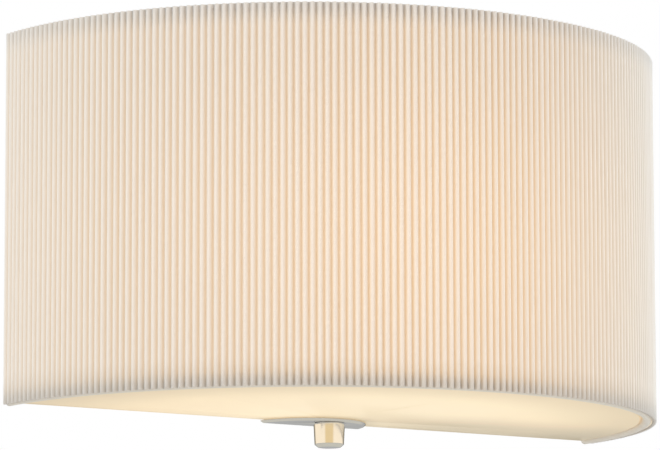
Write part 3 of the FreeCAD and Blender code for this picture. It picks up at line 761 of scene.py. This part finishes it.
plate = rounded_copy("clamp_plate", "clamp_half_disc", CHROME, 0.0002, polished=True)
diffuser = rounded_copy("diffuser", "opal_plate", OPAL, 0.0003, polished=True)
backplate = rounded_copy("backplate", "wall_plate", WHITE_STEEL, 0.00025)
arm = rounded_copy("lamp_arm", "lamp_arm_strip", WHITE_STEEL, 0.0003)
shelf = rounded_copy("shelf_bracket", "shelf_strip", WHITE_STEEL, 0.0003)
tabs = rounded_copy("hanging_tabs", "keyhole_tabs", FRAME_WIRE, 0.0002)
terminal = rounded_copy("terminal_block", "terminal_body", TERMINAL_PLASTIC, 0.0003)
tag = rounded_copy("earth_tag", "earth_ring_tag", BRASS, 0.00012)
nut = rounded_copy("holder_nut", "arm_nut", ZINC, 0.0003)
upper_pad = rounded_copy("upper_gasket", "upper_foam_pad", FOAM, 0.0003)
lower_pad = rounded_copy("lower_gasket", "lower_foam_washer", FOAM, 0.00015)

# %% [markdown]
# ## Turned pieces
#
# The knob, the lampholder, the bush in the cable hole and the lamp itself are round. Each is a
# profile of radius and height points, turned about its axis with enough sides to look truly round,
# and its corners are rounded in the profile, where a lathe's tool or a mould would round them.

# %% A lathe
def rounded(points, radius, steps=4):
    """The same open outline with each inner corner replaced by a short curve."""
    outline = [points[0]]
    for before, corner, after in zip(points, points[1:], points[2:]):
        before, corner, after = (Vector(p) for p in (before, corner, after))
        cut = min(radius, (corner - before).length * 0.4, (after - corner).length * 0.4)
        back, ahead = (before - corner).normalized(), (after - corner).normalized()
        start, end = corner + back * cut, corner + ahead * cut
        # one more point on each side keeps the shine of the straight parts straight
        outline.append(tuple(start + back * cut * 0.2))
        for k in range(steps + 1):
            t = k / steps
            outline.append(tuple(start * (1 - t) ** 2 + corner * 2 * t * (1 - t) + end * t**2))
        outline.append(tuple(end + ahead * cut * 0.2))
    return outline + [points[-1]]


def lathe(name, outline, finish, place, sides=96, axis=(0, 0, 1), sharp=40.0):
    """Turn (radius, height) points about an axis through place; their ends meet it or each other."""
    bm = bmesh.new()
    rings = []
    for radius, height in outline:
        count = sides if radius > 1e-7 else 1
        angles = [2 * math.pi * k / count for k in range(count)]
        rings.append([bm.verts.new((radius * math.cos(a), radius * math.sin(a), height)) for a in angles])
    pairs = list(zip(rings, rings[1:]))
    if len(rings[0]) > 1 and len(rings[-1]) > 1:
        pairs.append((rings[-1], rings[0]))
    for low, high in pairs:
        for k in range(sides):
            corners = [low[k % len(low)], low[(k + 1) % len(low)],
                       high[(k + 1) % len(high)], high[k % len(high)]]
            corners = list(dict.fromkeys(corners))
            if len(corners) > 2:
                bm.faces.new(corners)
    bmesh.ops.recalc_face_normals(bm, faces=bm.faces)
    turn = Vector(axis).to_track_quat("Z", "Y").to_matrix().to_4x4()
    bm.transform(Matrix.Translation(place) @ turn)
    mesh = mesh_from(bm, name, finish)
    mesh.set_sharp_from_angle(angle=math.radians(sharp))
    return in_scene(name, mesh)


def turned(node, name, outline, finish, place, **shape):
    """A lathed piece that replaces a node."""
    piece = lathe(name, outline, finish, place, **shape)
    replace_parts(piece, node)
    print("%s: %d faces" % (name, len(piece.data.polygons)))
    return piece


# %% The knob
def knob():
    low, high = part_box("finial")
    top_r, height = reach_of("finial"), high.z - low.z
    low_r, tip_r = top_r - 0.00045, 0.0048
    chamfer, bevel = 0.0006, 0.0012  # at its upper and lower edge
    bore, deep = 0.00305, 0.0088
    outline = [(0, -deep), (bore, -deep), (bore, 0), (top_r - chamfer, 0), (top_r, -chamfer),
               (low_r, bevel - height), (tip_r, -height), (0, -height)]
    place = Vector((0, (low.y + high.y) / 2, high.z))
    return turned("finial", "finial_knob", rounded(outline, 0.00025), CHROME, place, sides=128)


finial = knob()

# %% The lampholder, its nipple and the lamp
LAMP_PLACE = Vector((LAMP_AXIS.x, LAMP_AXIS.y, 0.0))


def holder_cap():
    low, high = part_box("holder_cap")
    r, wall, roof, bore = reach_of("holder_cap"), 0.0018, 0.0025, 0.00505
    outline = [(bore, high.z), (r - 0.003, high.z), (r, high.z - 0.0035), (r, low.z + 0.0008),
               (r - 0.0004, low.z), (r - wall, low.z), (r - wall, high.z - roof), (bore, high.z - roof)]
    return turned("holder_cap", "holder_upper_half", rounded(outline, 0.0008), HOLDER_PLASTIC, LAMP_PLACE)


def holder_skirt():
    low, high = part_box("holder_skirt")
    r, collar, bore = reach_of("holder_skirt"), 0.004, 0.0086
    outline = [(bore, high.z), (r, high.z), (r, high.z - collar), (r - 0.0008, high.z - collar),
               (r - 0.0016, low.z), (bore, low.z)]
    return turned("holder_skirt", "holder_lower_half", rounded(outline, 0.0005), HOLDER_PLASTIC, LAMP_PLACE)


def thread(radius, depth, pitch, low, high):
    """Points of a thread's outline, from low to high."""
    count = int((high - low) / pitch * 2)
    return [(radius - depth * (k % 2), low + (high - low) * k / count) for k in range(count + 1)]


def nipple():
    low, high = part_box("holder_nipple")
    r, depth, pitch, wall = reach_of("holder_nipple"), 0.0005, 0.001, 0.001
    outline = thread(r, depth, pitch, low.z, high.z) + [(r - wall, high.z), (r - wall, low.z)]
    return turned("holder_nipple", "arm_nipple", outline, ZINC, LAMP_PLACE, sides=48, sharp=30.0)


def lamp():
    """A ball, a waist that narrows to the neck, and the seat of the metal cap."""
    neck_r, seat_r = 0.0076, 0.0063
    top = LAMP_HIGH.z
    cap_rim = top - 0.003
    outline = [(BULB_RADIUS * math.sin(a), BULB_CENTRE.z - BULB_RADIUS * math.cos(a))
               for a in (math.radians(4 * k) for k in range(37))]
    r, z = outline[-1]
    outline += [(r * (1 - t) ** 1.6 + neck_r * (1 - (1 - t) ** 1.6), z + (cap_rim - 0.001 - z) * t)
                for t in (k / 8 for k in range(1, 9))]
    outline += [(seat_r, cap_rim), (seat_r, top), (0, top)]
    return turned("lamp_glass", "lamp_bulb", outline, GLASS, LAMP_PLACE)


holder_pieces = [holder_cap(), holder_skirt(), nipple()]
bulb = lamp()


def bush():
    low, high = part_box("cable_grommet")
    r, depth = reach_of("cable_grommet"), high.y - low.y
    bore, neck, steel, slope, lip = 0.0045, 0.0079, 0.0012, 0.0015, 0.0006
    outline = [(bore, 0), (neck, 0), (neck, steel), (r, steel), (r - slope, depth),
               (bore + lip, depth), (bore, depth - lip)]
    place = Vector((0, 0, (low.z + high.z) / 2))
    axis = (0, -1, 0)
    return turned("cable_grommet", "cable_bush", rounded(outline, 0.0004), RUBBER, place, axis=axis)


grommet = bush()

# %% [markdown]
# ## Rivets, screws and studs
#
# Equal fasteners are one small model, put at many places. A geometry tree does that: it sets a copy
# on each point of the start mesh, turned as an attribute of the point says. The screws' slots stop
# at any angle, so each turn comes from a random number with a fixed seed.

# %% Copies on points
def spread_tree():
    graph, given = new_tree("spread", {"Model": bpy.types.Object, "Finish": bpy.types.Material})
    model = graph.add("GeometryNodeObjectInfo", [given["Model"]], out="Geometry")
    turn = graph.add("GeometryNodeInputNamedAttribute", ["turn"], data_type="FLOAT_VECTOR")
    sockets = {"Points": given["Start"], "Instance": model, "Rotation": turn}
    close_tree(graph, graph.add("GeometryNodeInstanceOnPoints", sockets), given["Finish"])
    return graph


SPREAD = spread_tree()


def spread(node, name, model, places, turns, finish):
    """Set a copy of model on each place, turned by the three angles beside it, and drop the model."""
    mesh = bpy.data.meshes.new(name)
    mesh.from_pydata([tuple(p) for p in places], [], [])
    attribute = mesh.attributes.new("turn", "FLOAT_VECTOR", "POINT")
    attribute.data.foreach_set("vector", [angle for turn in turns for angle in turn])
    piece = grow(node, name, SPREAD, {"Model": model, "Finish": finish}, start=mesh)
    bpy.data.objects.remove(model)
    piece.data.set_sharp_from_angle(angle=math.radians(35))
    return piece


def solid_boxes(node):
    """The lowest and highest corner of each separate solid of a node."""
    bm = welded(node)
    found, left = [], set(bm.verts)
    while left:
        group, edge = set(), {left.pop()}
        while edge:
            group |= edge
            edge = {other for v in edge for e in v.link_edges for other in e.verts} - group
        left -= group
        low = [min(v.co[k] for v in group) for k in range(3)]
        high = [max(v.co[k] for v in group) for k in range(3)]
        found.append((Vector(low), Vector(high)))
    bm.free()
    return sorted(found, key=lambda pair: tuple(round(x, 5) for x in pair[0]))


def feet(solids):
    """The middle of each fastener's foot, on its wall side."""
    return [Vector(((a.x + b.x) / 2, b.y, (a.z + b.z) / 2)) for a, b in solids]


OUT_OF_WALL = math.radians(90)  # about X: turns a model's +Z to the room


def headed(name, shank_r, grip, head_r, head_height, finish, brim=0.0002):
    """A shank with a domed head on a low upright brim, from z = 0 up."""
    dome = [(head_r * math.cos(a), grip + brim + (head_height - brim) * math.sin(a))
            for a in (math.radians(10 * k) for k in range(9))]
    outline = [(0, 0), (shank_r, 0), (shank_r, grip), (head_r, grip)] + dome + [(0, grip + head_height)]
    return lathe(name, outline, finish, Vector((0, 0, 0)), sides=32)


def dress_heads(node, name, shank_r, head_height, finish):
    """Replace every flat-sided fastener of a node by a domed one."""
    solids = solid_boxes(node)
    low, high = solids[0]
    depth, head_r = high.y - low.y, (high.x - low.x) / 2
    model = headed(name + "_model", shank_r, depth - head_height, head_r, head_height, finish)
    return spread(node, name, model, feet(solids), [(OUT_OF_WALL, 0, 0)] * len(solids), finish)


rivets = dress_heads("bracket_rivets", "rivet_heads", 0.002, 0.0012, ZINC)
studs = dress_heads("hanging_studs", "shoulder_studs", 0.002, 0.0018, ZINC)

# %% Slotted screws
def slotted(name, radius, length, slot, finish, shank=None):
    """A short screw along +Z with a slot across its top; shank is its thinner part's radius and length."""
    foot = [(0, 0), (radius, 0)]
    if shank:
        thin, neck = shank
        foot = [(0, 0), (thin, 0), (thin, neck), (radius, neck)]
    chamfer, slot_depth = 0.0003, 0.0008
    outline = foot + [(radius, length - chamfer), (radius - chamfer, length), (0, length)]
    piece = lathe(name, outline, finish, Vector((0, 0, 0)), sides=32)
    bm = bmesh.new()
    size = Matrix.Diagonal((radius * 2.2, slot, 2 * slot_depth, 1.0))
    bmesh.ops.create_cube(bm, size=1.0, matrix=Matrix.Translation((0, 0, length)) @ size)
    tool = in_scene("slot", mesh_from(bm, "slot"))
    cut = piece.modifiers.new("slot", "BOOLEAN")
    cut.object = tool
    cut.operation = "DIFFERENCE"
    cut.solver = "EXACT"
    bake(piece)
    bpy.data.objects.remove(tool)
    return piece


def terminal_screws():
    solids = solid_boxes("terminal_screws")
    low, high = solids[0]
    model = slotted("screw_model", (high.x - low.x) / 2, high.y - low.y, 0.0007, ZINC)
    spin = random.Random(4)
    turns = [(OUT_OF_WALL, spin.uniform(-1.4, 1.4), 0) for _ in solids]
    return spread("terminal_screws", "terminal_screw_heads", model, feet(solids), turns, ZINC)


def earth_screw():
    """The same slotted head on a thin shank that goes through the plate."""
    low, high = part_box("earth_screw")
    depth, radius, head = high.y - low.y, reach_of("earth_screw"), 0.0024
    model = slotted("earth_model", radius, depth, 0.0009, BRASS, shank=(0.00195, depth - head))
    turns = [(OUT_OF_WALL, 0.6, 0)]
    return spread("earth_screw", "earth_slotted_screw", model, feet([(low, high)]), turns, BRASS)


screws = terminal_screws()
earth_piece = earth_screw()

# %% [markdown]
# ## The inner leads
#
# Two leads run from the terminal block to the lampholder and one to the earth tag. Each follows a
# path, so a geometry tree sweeps a circle along a smooth curve through the route's own points. The
# earth lead has the usual yellow stripe wound round green, from attributes that the tree keeps.

# %% Leads
LEAD_DIAMETER = 0.0022


def lead_tree():
    inputs = {"Radius": float, "Finish": bpy.types.Material}
    graph, given = new_tree("lead", inputs)
    line = graph.add("GeometryNodeMeshToCurve", [given["Start"]])
    travelled = graph.add("GeometryNodeSplineParameter", out="Length")
    line = graph.keep(line, "along", travelled)
    circle = {"Resolution": 16, "Radius": given["Radius"]}
    ring = graph.add("GeometryNodeCurvePrimitiveCircle", circle, mode="RADIUS")
    ring = graph.keep(ring, "around", graph.add("GeometryNodeSplineParameter", out="Factor"))
    tube = graph.add("GeometryNodeCurveToMesh", {"Curve": line, "Profile Curve": ring, "Fill Caps": True})
    close_tree(graph, graph.add("GeometryNodeSetShadeSmooth", [tube]), given["Finish"])
    return graph


def sleeve(name, dark, light, stripe=None):
    finish = Finish(name, coat_weight=0.2)
    cloud = finish.noise(250.0, 2.0)
    base = finish.mix(dark, light, cloud)
    if stripe:
        wave = (finish.attribute("along") * 240.0 + finish.attribute("around") * (2 * math.pi)).maths("SINE")
        base = finish.mix(base, stripe, finish.smooth(wave, 0.05, 0.15))
    finish.put("Base Color", base)
    finish.put("Roughness", 0.36 + cloud * 0.12)
    finish.bump(cloud, 0.00003, 0.3)
    return finish.material


def route(points):
    """A smooth line near the route's points, as a NURBS curve gives it."""
    curve = bpy.data.curves.new("route", "CURVE")
    curve.dimensions = "3D"
    spline = curve.splines.new("NURBS")
    spline.points.add(len(points) - 1)
    for point, place in zip(spline.points, points):
        point.co = (*(x * MM for x in place), 1.0)
    spline.order_u = 3
    spline.use_endpoint_u = True
    curve.resolution_u = 10
    holder = in_scene("route", curve)
    mesh = evaluated(holder)
    bpy.data.objects.remove(holder)
    return mesh


LEADS = lead_tree()
OVER_THE_ARM = [(10, -7, 0), (11, -8.5, 18), (17, -17, 50), (12, -34, 72), (2.2, -49.5, 72), (1.9, -50, 46.1)]
LEAD_ROUTES = {  # in millimetres
    "live": [(-x, y, z) for x, y, z in OVER_THE_ARM],
    "neutral": OVER_THE_ARM,
    "earth": [(0, -7, 0), (0.6, -6.4, 10), (6.5, -4.2, 18.6), (15, -2.8, 21), (22.5, -2.8, 21)],
}
LEAD_SLEEVES = {
    "live": sleeve("brown_lead", (0.10, 0.045, 0.02), (0.14, 0.065, 0.03)),
    "neutral": sleeve("blue_lead", (0.02, 0.07, 0.30), (0.03, 0.10, 0.38)),
    "earth": sleeve("green_lead", (0.06, 0.25, 0.04), (0.08, 0.30, 0.05), stripe=(0.75, 0.62, 0.05)),
}
lead_pieces = []
for name, points in LEAD_ROUTES.items():
    node = "lead_" + name
    values = {"Radius": LEAD_DIAMETER / 2, "Finish": LEAD_SLEEVES[name]}
    lead_pieces.append(grow(node, node + "_sleeve", LEADS, values, start=route(points)))

# %% [markdown]
# ## Smooth wires
#
# The frame's wires were drawn with flat sides in the engineering model to keep it light. The eye
# catches flats on a wire at once, so the same tube tree draws them round.

# %% Rim wires and struts
def wire_piece(name, node, lines):
    """One piece of round wires along straight or bent lines of points."""
    mesh = bpy.data.meshes.new(name)
    points = [p for line in lines for p in line]
    edges, first = [], 0
    for line in lines:
        edges += [(first + k, first + k + 1) for k in range(len(line) - 1)]
        first += len(line)
    mesh.from_pydata(points, edges, [])
    return grow(node, name, LEADS, {"Radius": WIRE_RADIUS, "Finish": FRAME_WIRE}, start=mesh)


STRUT_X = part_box("side_struts")[1].x - WIRE_RADIUS
STRUT_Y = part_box("side_struts")[1].y - WIRE_RADIUS
end_turn = math.asin(-STRUT_Y / RING_RADIUS)


def rim_line(z):
    turns = [math.pi + end_turn + (math.pi - 2 * end_turn) * k / 160 for k in range(161)]
    return [(RING_RADIUS * math.cos(t), RING_RADIUS * math.sin(t), z) for t in turns]


back_bar = [(-STRUT_X, STRUT_Y, RING_Z), (STRUT_X, STRUT_Y, RING_Z)]
wires = [
    wire_piece("top_rim_wire", "top_ring", [rim_line(RING_Z), back_bar]),
    wire_piece("bottom_rim_wire", "bottom_ring", [rim_line(-RING_Z)]),
    wire_piece("back_corner_wires", "side_struts", [
        [(x, STRUT_Y, -RING_Z + WIRE_RADIUS), (x, STRUT_Y, RING_Z - WIRE_RADIUS)] for x in (-STRUT_X, STRUT_X)
    ]),
]

# %% [markdown]
# ## Finishes of the parts that stay
#
# A few parts hide inside others, such as the lamp's metal cap in its holder. Their model shape is
# right as it is, and they only take a finish.

# %% Hidden parts
STAYING = {
    "finial_stud": ZINC, "holder_insert": HOLDER_PLASTIC, "holder_shell": BRASS, "holder_contact": BRASS,
    "lamp_cap": ZINC, "lamp_insulator": BLACK_GLASS, "lamp_contact": SOLDER,
}
for node, finish in STAYING.items():
    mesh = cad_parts[node].data
    mesh.materials.clear()
    mesh.materials.append(finish)
print("parts that stay:", ", ".join(STAYING))

# %% [markdown]
# ## Light, floor and backdrop
#
# Product photographs of pale things are lit softly from all sides, with one larger light to give
# form. Here the world gives even light, a broad cool lamp stands on the +X side and a weaker one
# opposite. The camera sees a white background only because camera rays look up a brighter world:
# the object isn't lit by it. Mirror-like parts look up a third world, a warm room with a golden wall
# behind the camera and a dark one opposite, so that the chrome has something to show.

# %% Studio
FLOOR_Z = -0.5
AMBIENT = 0.95
DAYLIGHT = (0.71, 0.89, 1.0)
TO_CAMERA = (-0.535, -0.845, 0.0)  # level direction from the light to the camera
LIT_POINT = Vector((0, -0.07, 0))  # inside the shade, which both lamps face


def studio():
    """Even light from all sides; the camera sees white, and polished metal mirrors a warm room."""
    scene.world = scene.world or bpy.data.worlds.new("studio")
    scene.world.use_nodes = True
    graph = Graph(scene.world.node_tree)
    direction = graph.add("ShaderNodeTexCoord", out="Generated")
    frontal = graph.add("ShaderNodeVectorMath", [direction, TO_CAMERA], out="Value", operation="DOT_PRODUCT")
    walls = graph.mix((0.10, 0.085, 0.05), (1.2, 1.02, 0.76), graph.smooth(frontal, -0.98, -0.45))
    room = graph.mix(walls, (0.98, 0.74, 0.40), graph.smooth(frontal, 0.78, 0.93))
    path = graph.add("ShaderNodeLightPath", out="Is Camera Ray")
    seen = path.maths("MAXIMUM", path.other("Is Transmission Ray"))
    white = graph.mix((AMBIENT, AMBIENT, AMBIENT), (1.0, 1.0, 1.0), seen)
    sockets = {"Color": graph.mix(white, room, path.other("Is Glossy Ray")), "Strength": 1.0}
    back = graph.add("ShaderNodeBackground", sockets)
    output = graph.tree.nodes.new("ShaderNodeOutputWorld")
    graph.tree.links.new(back.socket, output.inputs[0])


def soft_light(name, place, size, power):
    """A square lamp of daylight that faces the shade and isn't seen in the chrome."""
    data = bpy.data.lights.new(name, "AREA")
    data.size = size
    data.energy = power
    data.color = DAYLIGHT
    light = in_scene(name, data)
    light.location = place
    light.rotation_mode = "QUATERNION"
    light.rotation_quaternion = (LIT_POINT - Vector(place)).to_track_quat("-Z", "Y")
    light.visible_glossy = False


FLOOR_HALF = 8.0
MIRRORED_SPOT = (-0.45, -0.75, 0.0)  # on the floor, seen dark in the knob
SPOT_EDGE = (0.25, 0.5)  # from the spot's middle, where it begins to fade and ends


def pale_floor():
    """Pale grey under the object, fading to white far off; from below it is clear."""
    finish = Finish("pale_floor", colour=(0.62, 0.63, 0.64), roughness=0.7)
    x, y = finish.axes()[:2]
    distance = (x * x + y * y) ** 0.5
    far = finish.smooth(distance, 1.0, 4.5)
    path = finish.add("ShaderNodeLightPath", out="Is Camera Ray")
    white = finish.add("ShaderNodeEmission", {"Color": (1, 1, 1, 1), "Strength": 1.0})
    plain = Wire(finish, finish.shader.outputs[0])
    shown = finish.add("ShaderNodeMixShader", [path * far * 0.9, plain, white])
    ends = [finish.place, MIRRORED_SPOT]
    from_spot = finish.add("ShaderNodeVectorMath", ends, out="Value", operation="DISTANCE")
    # glossy rays see a painted floor: grey with a dark spot, which the knob shows as a painted reflection
    grey = finish.mix((0.68, 0.65, 0.56), (0.46, 0.46, 0.45), finish.smooth(distance, 0.7, 2.0))
    grey = finish.mix((0.05, 0.045, 0.03), grey, finish.smooth(from_spot, *SPOT_EDGE))
    mirrored = finish.add("ShaderNodeEmission", {"Color": grey, "Strength": 1.0})
    shown = finish.add("ShaderNodeMixShader", [path.other("Is Glossy Ray"), shown, mirrored])
    clear = finish.add("ShaderNodeBsdfTransparent")
    under = finish.add("ShaderNodeNewGeometry", out="Backfacing")
    both = finish.add("ShaderNodeMixShader", [under, shown, clear])
    output = next(n for n in finish.tree.nodes if n.type == "OUTPUT_MATERIAL")
    finish.tree.links.new(both.socket, output.inputs[0])
    signs = ((-1, -1), (1, -1), (1, 1), (-1, 1))
    mesh = bpy.data.meshes.new("floor")
    mesh.from_pydata([(a * FLOOR_HALF, b * FLOOR_HALF, FLOOR_Z) for a, b in signs], [], [(0, 1, 2, 3)])
    mesh.materials.append(finish.material)
    in_scene("floor", mesh)


studio()
soft_light("key", (2.35, -0.5, 0.4), size=1.6, power=31.0)
soft_light("fill", (-2.3, -0.5, 0.4), size=1.8, power=14.5)
pale_floor()
scene.view_settings.view_transform = "Standard"

# %% [markdown]
# ## What each piece belongs to
#
# Every piece rides on a body of the model, so it moves when a joint moves: the whole shade lifts off
# its studs, the opal plate comes down with the half disc, the knob turns and so does the lamp.


RIDES = {
    "shade": [cover, top_tape, bottom_tape, *edge_tapes, lining, tabs, *wires],
    "lower_plate": [diffuser, plate, upper_pad, lower_pad],
    "finial": [finial],
    "lamp": [bulb],
    "wall_unit": [backplate, arm, shelf, terminal, tag, nut, *holder_pieces, grommet, rivets, studs, screws,
                  earth_piece, *lead_pieces],
}
for body, pieces in RIDES.items():
    for piece in pieces:
        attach(piece, body)
